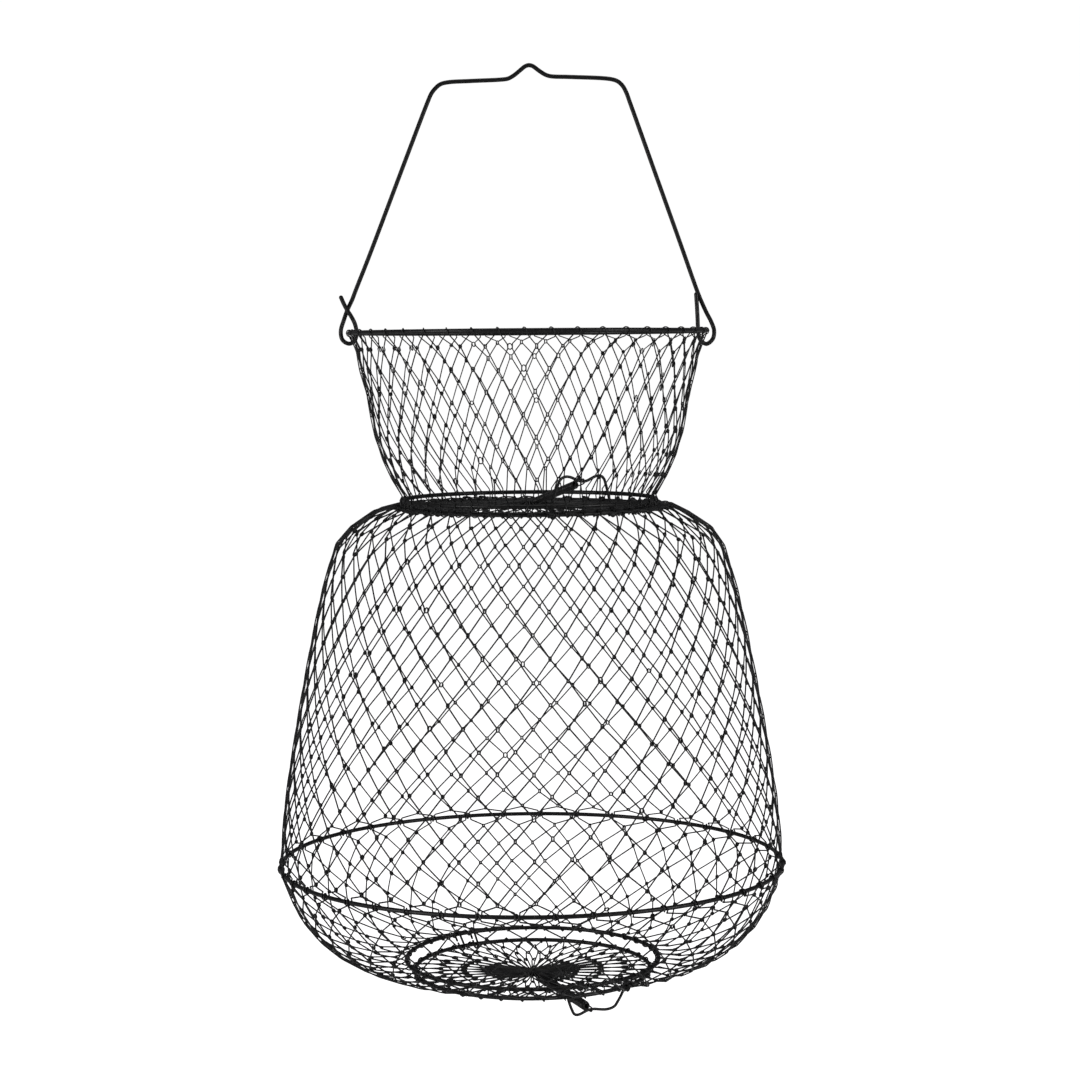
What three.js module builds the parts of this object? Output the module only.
// Folding crab trap: a knitted wire keep net on seven wire rings, with a swing handle,
// a sprung lid in the neck and a sprung door in the bottom.
// Millimetres, +Z up. The trap's axis is x = y = 0; z = 0 is the lowest point, under the
// door latch. -Y is the front and -X the left.
// The three nets fold flat along Z: the neck comes down to the hoop, the rim to the neck
// and the bottom up to the hoop, so each of these has its own group.
import * as THREE from "three";

// ---- wire ----
const RING_WIRE_R = 1.5; // coated 3 mm wire of the rings and the handle
const LATCH_WIRE_R = 1.0;
const CLIP_WIRE_R = 0.8; // hinge clips and gather rings
const SPRING_WIRE_R = 0.5;
const CORNER_SCALE = 1.07; // corner radius of a wire's faceted section over the wire's radius

// ---- rings ----
const BOTTOM_RING = { radius: 90, height: 23.4 };
const HOOP_RING = { radius: 178, height: 93.4 }; // the widest
const NECK_RING = { radius: 88.5, height: 346 };
const COLLAR_RING = { radius: 89, height: 351.5 }; // ends the collar net
const RIM_RING = { radius: 125, height: 469 };
const GATHER_R = 5; // small ring in the middle of the lid and of the door
const RING_SEGMENTS = 40;
const GATHER_SEGMENTS = 16;

// ---- nets ----
const NET_THICKNESS = 1.5; // the knitted wire, with its eyes, stands about this deep
const NET_SEGMENTS = 36;
const FLAP_NET_INSET = 1.4; // from the gather ring's centre line out to a flap's net

// Profiles from the top down: radius, height over the rim plane.
const COLLAR_PROFILE = [
  [119.6, -13.2], [117.6, -25], [113.5, -40], [107.5, -72],
  [102.5, -87.5], [94.8, -104.5], [91.2, -111.8],
];
const BODY_PROFILE = [
  [93.6, -121.6], [102, -121.9], [110, -125.8], [122, -133.9],
  [128.3, -138.3], [135, -146.5], [139.5, -159], [147.4, -187],
  [163, -264], [174, -332], [177.4, -370.8],
];
const BOWL_PROFILE = [
  [176.6, -380.2], [172.3, -393], [164.5, -409], [150, -426],
  [130, -439], [108, -446.4], [96, -446.2],
];

// ---- lid and door ----
// Each is a flap: a ring with a flat net, a latch and a spring, hinged opposite its latch.
// away: +1 if the latch stands up from the ring, -1 if it hangs down
// frontDeg: direction of the latch from the axis
// foot: half distance between the latch feet
// rise: height of the latch loop from the ring's plane
// skew: offset of the dip in the latch from its middle, as a share of foot
// straight: where the spring's coil starts, from the gather ring's wire
const LID = {
  name: "lid",
  radius: 80.5,
  height: NECK_RING.height,
  netRadius: 75.4,
  away: 1,
  frontDeg: -61.5,
  foot: 23.4,
  rise: 24.6,
  leanDeg: 2,
  skew: 0.07,
  coilRadius: 2.6,
  straight: 20,
};
const DOOR = {
  name: "door",
  radius: 84,
  height: 15.541, // the door hangs a little under the bottom ring
  netRadius: 78.7,
  away: -1,
  frontDeg: -55.5,
  foot: 23.8,
  rise: 13.718,
  leanDeg: 8,
  skew: -0.24,
  coilRadius: 3,
  straight: 24,
};

// ---- finishes ----
const coatedWire = new THREE.MeshStandardMaterial({
  color: 0x0b0b0c,
  roughness: 0.38,
  metalness: 0,
});
const netWire = new THREE.MeshStandardMaterial({
  color: 0x0e0e0f,
  roughness: 0.5,
  metalness: 0,
});
const springWire = new THREE.MeshStandardMaterial({
  color: 0x161618,
  roughness: 0.32,
  metalness: 0.4,
});

// ---- geometry helpers ----
const vec = (x, y, z) => new THREE.Vector3(x, y, z);
const rad = THREE.MathUtils.degToRad;

// A horizontal unit vector, by its angle from +X.
const heading = (deg) => vec(Math.cos(rad(deg)), Math.sin(rad(deg)), 0);

// Evenly spaced angles in radians, both ends included.
const sweep = (startDeg, endDeg, steps) =>
  Array.from({ length: steps + 1 }, (_, k) => rad(startDeg + ((endDeg - startDeg) * k) / steps));

// A wire's centre line, sampled exactly at the given points. With a reference direction the
// section keeps one side turned to it; without one the section is carried along unturned.
class WirePath extends THREE.Curve {
  constructor(points, reference) {
    super();
    this.points = points;
    this.reference = reference;
  }

  // The extrusion takes one step per span, so every sample falls on a point.
  getPointAt(u, target = vec(0, 0, 0)) {
    return target.copy(this.points[Math.round(u * (this.points.length - 1))]);
  }

  computeFrenetFrames(segments) {
    const span = (i) => this.points[i + 1].clone().sub(this.points[i]).normalize();
    const tangents = [];
    const normals = [];
    const binormals = [];
    for (let i = 0; i <= segments; i++) {
      const before = span(Math.max(i - 1, 0));
      const after = span(Math.min(i, segments - 1));
      const tangent = before.add(after).normalize();
      const normal = this.sideAt(tangent, normals[i - 1]);
      normal.addScaledVector(tangent, -normal.dot(tangent)).normalize();
      tangents.push(tangent);
      normals.push(normal);
      binormals.push(tangent.clone().cross(normal));
    }
    return { tangents, normals, binormals };
  }

  // The direction that the section's side is turned to, before it is squared to the tangent.
  sideAt(tangent, previous) {
    if (this.reference) return this.reference.clone();
    if (previous) return previous.clone();
    return Math.abs(tangent.z) < 0.8 ? vec(0, 0, 1) : vec(1, 0, 0);
  }
}

function signedVolume(geometry) {
  const flat = geometry.index ? geometry.toNonIndexed() : geometry;
  const position = flat.getAttribute("position");
  const corners = [vec(0, 0, 0), vec(0, 0, 0), vec(0, 0, 0)];
  let sum = 0;
  for (let i = 0; i < position.count; i += 3) {
    corners.forEach((corner, k) => corner.fromBufferAttribute(position, i + k));
    sum += corners[0].dot(corners[1].cross(corners[2])) / 6;
  }
  return sum;
}

// Faces turned outwards, whichever way the profile or the path ran.
function facingOut(geometry) {
  if (signedVolume(geometry) > 0) return geometry;
  const flat = geometry.index ? geometry.toNonIndexed() : geometry;
  const position = flat.getAttribute("position");
  for (let i = 0; i < position.count; i += 3) {
    const second = vec(0, 0, 0).fromBufferAttribute(position, i + 1);
    const third = vec(0, 0, 0).fromBufferAttribute(position, i + 2);
    position.setXYZ(i + 1, third.x, third.y, third.z);
    position.setXYZ(i + 2, second.x, second.y, second.z);
  }
  flat.computeVertexNormals();
  return flat;
}

function wire(points, wireRadius, { sides = 6, reference = null } = {}) {
  const cornerRadius = wireRadius * CORNER_SCALE;
  const corners = [];
  for (let k = 0; k < sides; k++) {
    const angle = (2 * Math.PI * k) / sides;
    corners.push(
      new THREE.Vector2(cornerRadius * Math.cos(angle), cornerRadius * Math.sin(angle)),
    );
  }
  const section = new THREE.Shape(corners);
  section.closePath();
  return facingOut(
    new THREE.ExtrudeGeometry(section, {
      steps: points.length - 1,
      curveSegments: 1,
      bevelEnabled: false,
      extrudePath: new WirePath(points, reference),
    }),
  );
}

// A closed profile of (radius, height) turned round the Z axis.
function turned(profile, segments) {
  const geometry = new THREE.LatheGeometry(
    [...profile, profile[0]].map(([r, z]) => new THREE.Vector2(r, z)),
    segments,
  );
  geometry.rotateX(Math.PI / 2);
  return facingOut(geometry);
}

// A wire ring, six sided with a flat on top and underneath.
function ring({ radius, height }, wireRadius = RING_WIRE_R, segments = RING_SEGMENTS) {
  const cornerRadius = wireRadius * CORNER_SCALE;
  const profile = [];
  for (let k = 0; k < 6; k++) {
    const angle = (Math.PI * k) / 3;
    profile.push([
      radius + cornerRadius * Math.cos(angle),
      height + cornerRadius * Math.sin(angle),
    ]);
  }
  return turned(profile, segments);
}

// A thin shell of revolution on both sides of a profile, open at top and bottom.
function net(profile) {
  const front = [];
  const back = [];
  profile.forEach(([radius, height], i) => {
    const previous = profile[Math.max(i - 1, 0)];
    const next = profile[Math.min(i + 1, profile.length - 1)];
    const deltaR = next[0] - previous[0];
    const deltaZ = next[1] - previous[1];
    const length = Math.hypot(deltaR, deltaZ);
    const offsetR = (-deltaZ / length) * (NET_THICKNESS / 2);
    const offsetZ = (deltaR / length) * (NET_THICKNESS / 2);
    front.push([radius + offsetR, height + offsetZ + RIM_RING.height]);
    back.unshift([radius - offsetR, height - offsetZ + RIM_RING.height]);
  });
  return turned([...front, ...back], NET_SEGMENTS);
}

// The flat net of a flap, between its ring and its gather ring.
function discNet(inner, outer, height) {
  const low = height - NET_THICKNESS / 2;
  const high = height + NET_THICKNESS / 2;
  return turned([[inner, low], [outer, low], [outer, high], [inner, high]], NET_SEGMENTS);
}

// ---- handle ----
const HANDLE_RISE = 184.5; // apex above the rim
const EYE_STEPS = 17;

// The eye at each end of the handle, about the rim wire: x outwards from the wire's centre,
// y, z up. The leg comes first and the free tip last.
const LEFT_EYE = [
  [-4.6, 1.7, 30.2], [-1.9, 1.7, 23.4], [1.5, 1.7, 16.3], [4.2, 1.3, 8.8],
  [6.2, 0.8, 2], [5.6, 0.4, -3.6], [3.2, 0.1, -6.4], [-0.1, 0, -7.3],
  [-3.4, -0.3, -5.2], [-4.9, -0.8, -0.4], [-4, -1.3, 6], [-1.6, -1.7, 11.3],
  [1.5, -1.8, 16.3], [3.7, -1.8, 20.6], [5.6, -1.8, 25],
];
const RIGHT_EYE = [
  [-4.8, 1.6, 24.7], [-2.2, 1.7, 18.6], [0.5, 1.7, 12.7], [3.9, 1.2, 6],
  [5.8, 0.7, 0], [4.8, 0.3, -5.8], [0.3, 0, -9.3], [-4.2, -0.4, -6],
  [-5.5, -0.9, 0], [-5.9, -1.4, 8], [-6.3, -1.7, 16], [-6.9, -1.7, 25.5],
];
// Between the eyes, from left to right: x, y, height over the rim plane.
const HANDLE_BOW = [
  [-111, 1.2, 53], [-88.5, 0.4, 110], [-72.2, 0, 151.2], [-68.7, 0, 159.8],
  [-66, 0, 165.8], [-63.3, 0, 169.3], [-59.8, 0, 172.2], [-54.6, 0, 173.6],
  [-38.9, 0, 174.4], [-16.3, 0, 175.3], [-12.4, 0, 175.9], [-8.4, 0, 178],
  [-4.8, 0, 181], [-2, 0, HANDLE_RISE - 0.35], [-0.9, 0, HANDLE_RISE],
  [5.1, 0, HANDLE_RISE], [6.2, 0, HANDLE_RISE - 0.35], [9.2, 0, 181.2],
  [13.4, 0, 178.5], [17.2, 0, 177.3], [30.8, 0, 176.7], [58.6, 0, 175.1],
  [63.8, 0, 173.5], [67.3, 0, 170.4], [69.9, 0, 165.7], [72.4, 0, 158.8],
  [75.4, 0, 150.5], [89.1, 0.4, 112], [106.6, 1.2, 63],
];

// side: -1 for the left eye, +1 for the right.
function eyePoints(table, side) {
  const points = table.map(([x, y, z]) =>
    vec(side * (RIM_RING.radius + x), y, RIM_RING.height + z),
  );
  return new THREE.CatmullRomCurve3(points, false, "centripetal").getSpacedPoints(EYE_STEPS);
}

function handlePoints() {
  return [
    ...eyePoints(LEFT_EYE, -1).reverse(),
    ...HANDLE_BOW.map(([x, y, z]) => vec(x, y, RIM_RING.height + z)),
    ...eyePoints(RIGHT_EYE, 1),
  ];
}

// ---- latches ----
const CURL_R = 3.1; // each latch foot curls round the flap's ring on this radius
const CURL_DEG = 255;
const CURL_STEPS = 9;
const LATCH_DIP = 0.855; // height of the dip in the middle, as a share of the rise

// Half of a latch's arch, from its foot to its middle:
// sideways as a share of foot, away from the ring's plane as a share of rise.
const LATCH_HALF = [
  [-0.985, 0.17], [-0.93, 0.385], [-0.86, 0.6], [-0.795, 0.77],
  [-0.745, 0.889], [-0.665, 0.966], [-0.55, 1], [-0.415, 0.983],
  [-0.27, 0.927], [-0.13, 0.872], [0, LATCH_DIP],
];

// Places latch coordinates in the trap: sideways along the line between the feet, outwards
// from the axis and away from the ring's plane. The latch leans about the line of its feet.
function placeOnLatch(flap, sideways, outwards, away) {
  const outDirection = heading(flap.frontDeg);
  const sideDirection = vec(-outDirection.y, outDirection.x, 0);
  const feetDistance = Math.sqrt(flap.radius * flap.radius - flap.foot * flap.foot);
  const lean = rad(flap.leanDeg);
  const leanedOut = outwards * Math.cos(lean) + away * Math.sin(lean);
  const leanedAway = -outwards * Math.sin(lean) + away * Math.cos(lean);
  return vec(0, 0, flap.height + flap.away * leanedAway)
    .addScaledVector(outDirection, feetDistance + leanedOut)
    .addScaledVector(sideDirection, sideways);
}

function latchPoints(flap) {
  const { foot, rise, skew } = flap;
  const mirror = (points) =>
    [...points].reverse().map(([sideways, ...rest]) => [-sideways, ...rest]);
  const curl = sweep(CURL_DEG, 0, CURL_STEPS).map((angle) => [
    -foot,
    -CURL_R * Math.cos(angle),
    -CURL_R * Math.sin(angle),
  ]);
  const arch = [...LATCH_HALF, ...mirror(LATCH_HALF.slice(0, -1))].map(([sideways, away]) => [
    (sideways + skew * (1 - sideways * sideways)) * foot,
    -CURL_R,
    away * rise,
  ]);
  return [...curl, ...arch, ...mirror(curl)].map((point) => placeOnLatch(flap, ...point));
}

// ---- springs ----
const SPRING_TURNS = 9;
const STEPS_PER_TURN = 8;
const SPRING_END_STRAIGHT = 8; // from the coil to the latch
const HOOK_DEG = 200;
const HOOK_STEPS = 6;

// From the gather ring's wire to the dip in the latch: a hook, a straight, the coil,
// a straight and a hook.
function springPoints(flap) {
  const { coilRadius, straight } = flap;
  const start = heading(flap.frontDeg).multiplyScalar(GATHER_R).setZ(flap.height);
  const end = placeOnLatch(flap, flap.skew * flap.foot, -CURL_R, LATCH_DIP * flap.rise);
  const axis = end.clone().sub(start);
  const length = axis.length();
  axis.normalize();
  const normal = vec(0, 0, flap.away);
  normal.addScaledVector(axis, -normal.dot(axis)).normalize();
  const across = axis.clone().cross(normal);
  const at = (along, off, aside) =>
    start
      .clone()
      .addScaledVector(axis, along)
      .addScaledVector(normal, off)
      .addScaledVector(across, aside);

  const coilSteps = SPRING_TURNS * STEPS_PER_TURN;
  const coilLength = length - SPRING_END_STRAIGHT - straight;
  return [
    ...sweep(HOOK_DEG, 0, HOOK_STEPS).map((angle) =>
      at(-coilRadius * Math.sin(angle), coilRadius * Math.cos(angle), 0),
    ),
    ...sweep(0, 360 * SPRING_TURNS, coilSteps).map((angle, k) =>
      at(
        straight + (coilLength * k) / coilSteps,
        coilRadius * Math.cos(angle),
        coilRadius * Math.sin(angle),
      ),
    ),
    ...sweep(0, HOOK_DEG, HOOK_STEPS).map((angle) =>
      at(length + coilRadius * Math.sin(angle), coilRadius * Math.cos(angle), 0),
    ),
  ];
}

// ---- hinge clips ----
const CLIP_R = 2.9; // half height of a clip
const CLIP_HALF_GAP = 1.1; // from the middle of a clip to each of its ends
const CLIP_BEND_STEPS = 6;
const CLIP_OFFSET_DEG = 4.2; // each clip sits this far to the side of the hinge line

// A loop of wire round the flap's ring and the fixed ring outside it, bent in the plane
// through the trap's axis, with a gap between its ends on the lower side.
function clipPoints(flap, fixedRing, deg) {
  const direction = heading(deg);
  const deltaR = fixedRing.radius - flap.radius;
  const deltaZ = fixedRing.height - flap.height;
  const apart = Math.hypot(deltaR, deltaZ);
  const unitR = deltaR / apart;
  const unitZ = deltaZ / apart;
  const at = (along, aside) =>
    direction
      .clone()
      .multiplyScalar(flap.radius + unitR * along - unitZ * aside)
      .setZ(flap.height + unitZ * along + unitR * aside);
  const bend = (centre, startDeg, endDeg) =>
    sweep(startDeg, endDeg, CLIP_BEND_STEPS).map((angle) =>
      at(centre + CLIP_R * Math.cos(angle), CLIP_R * Math.sin(angle)),
    );
  return [
    at(apart / 2 - CLIP_HALF_GAP, -CLIP_R),
    ...bend(0, -90, -270),
    ...bend(apart, 90, -90),
    at(apart / 2 + CLIP_HALF_GAP, -CLIP_R),
  ];
}

// ---- the assembly ----
function add(parent, name, geometry, material = coatedWire) {
  const mesh = new THREE.Mesh(geometry, material);
  mesh.name = name;
  parent.add(mesh);
}

function addGroup(parent) {
  const group = new THREE.Group();
  parent.add(group);
  return group;
}

function addHingeClips(parent, flap, fixedRing) {
  for (const [side, sideName] of [[1, "left"], [-1, "right"]]) {
    const deg = flap.frontDeg + 180 + side * CLIP_OFFSET_DEG;
    const clip = wire(clipPoints(flap, fixedRing, deg), CLIP_WIRE_R, {
      reference: heading(deg + 90),
    });
    add(parent, `${flap.name}_hinge_clip_${sideName}`, clip);
  }
}

function addFlap(parent, flap) {
  const { name, height } = flap;
  const group = addGroup(parent);
  const gatherRing = { radius: GATHER_R, height };
  const flapNet = discNet(GATHER_R + FLAP_NET_INSET, flap.netRadius, height);
  add(group, `${name}_ring`, ring(flap));
  add(group, `${name}_net`, flapNet, netWire);
  add(group, `${name}_center_ring`, ring(gatherRing, CLIP_WIRE_R, GATHER_SEGMENTS));
  add(group, `${name}_latch`, wire(latchPoints(flap), LATCH_WIRE_R));
  const spring = wire(springPoints(flap), SPRING_WIRE_R, { sides: 4 });
  add(group, `${name}_spring`, spring, springWire);
}

// The widest ring and the two nets that meet at it.
function addHoop(parent) {
  const hoop = addGroup(parent);
  add(hoop, "base_hoop", ring(HOOP_RING));
  add(hoop, "body_net", net(BODY_PROFILE), netWire);
  add(hoop, "bowl_net", net(BOWL_PROFILE), netWire);
}

function addNeck(parent) {
  const neck = addGroup(parent);
  add(neck, "neck_ring", ring(NECK_RING));
  add(neck, "collar_ring", ring(COLLAR_RING));
  add(neck, "collar_net", net(COLLAR_PROFILE), netWire);
  addHingeClips(neck, LID, NECK_RING);
  addFlap(neck, LID);
}

// The top ring and the handle, which has its own group.
function addRim(parent) {
  const rim = addGroup(parent);
  add(rim, "rim_ring", ring(RIM_RING));
  const handle = wire(handlePoints(), RING_WIRE_R, { reference: vec(0, 1, 0) });
  add(addGroup(rim), "handle", handle);
}

function addBottom(parent) {
  const bottom = addGroup(parent);
  add(bottom, "bottom_ring", ring(BOTTOM_RING));
  addHingeClips(bottom, DOOR, BOTTOM_RING);
  addFlap(bottom, DOOR);
}

const trap = new THREE.Group();
addHoop(trap);
addNeck(trap);
addRim(trap);
addBottom(trap);

export default trap;
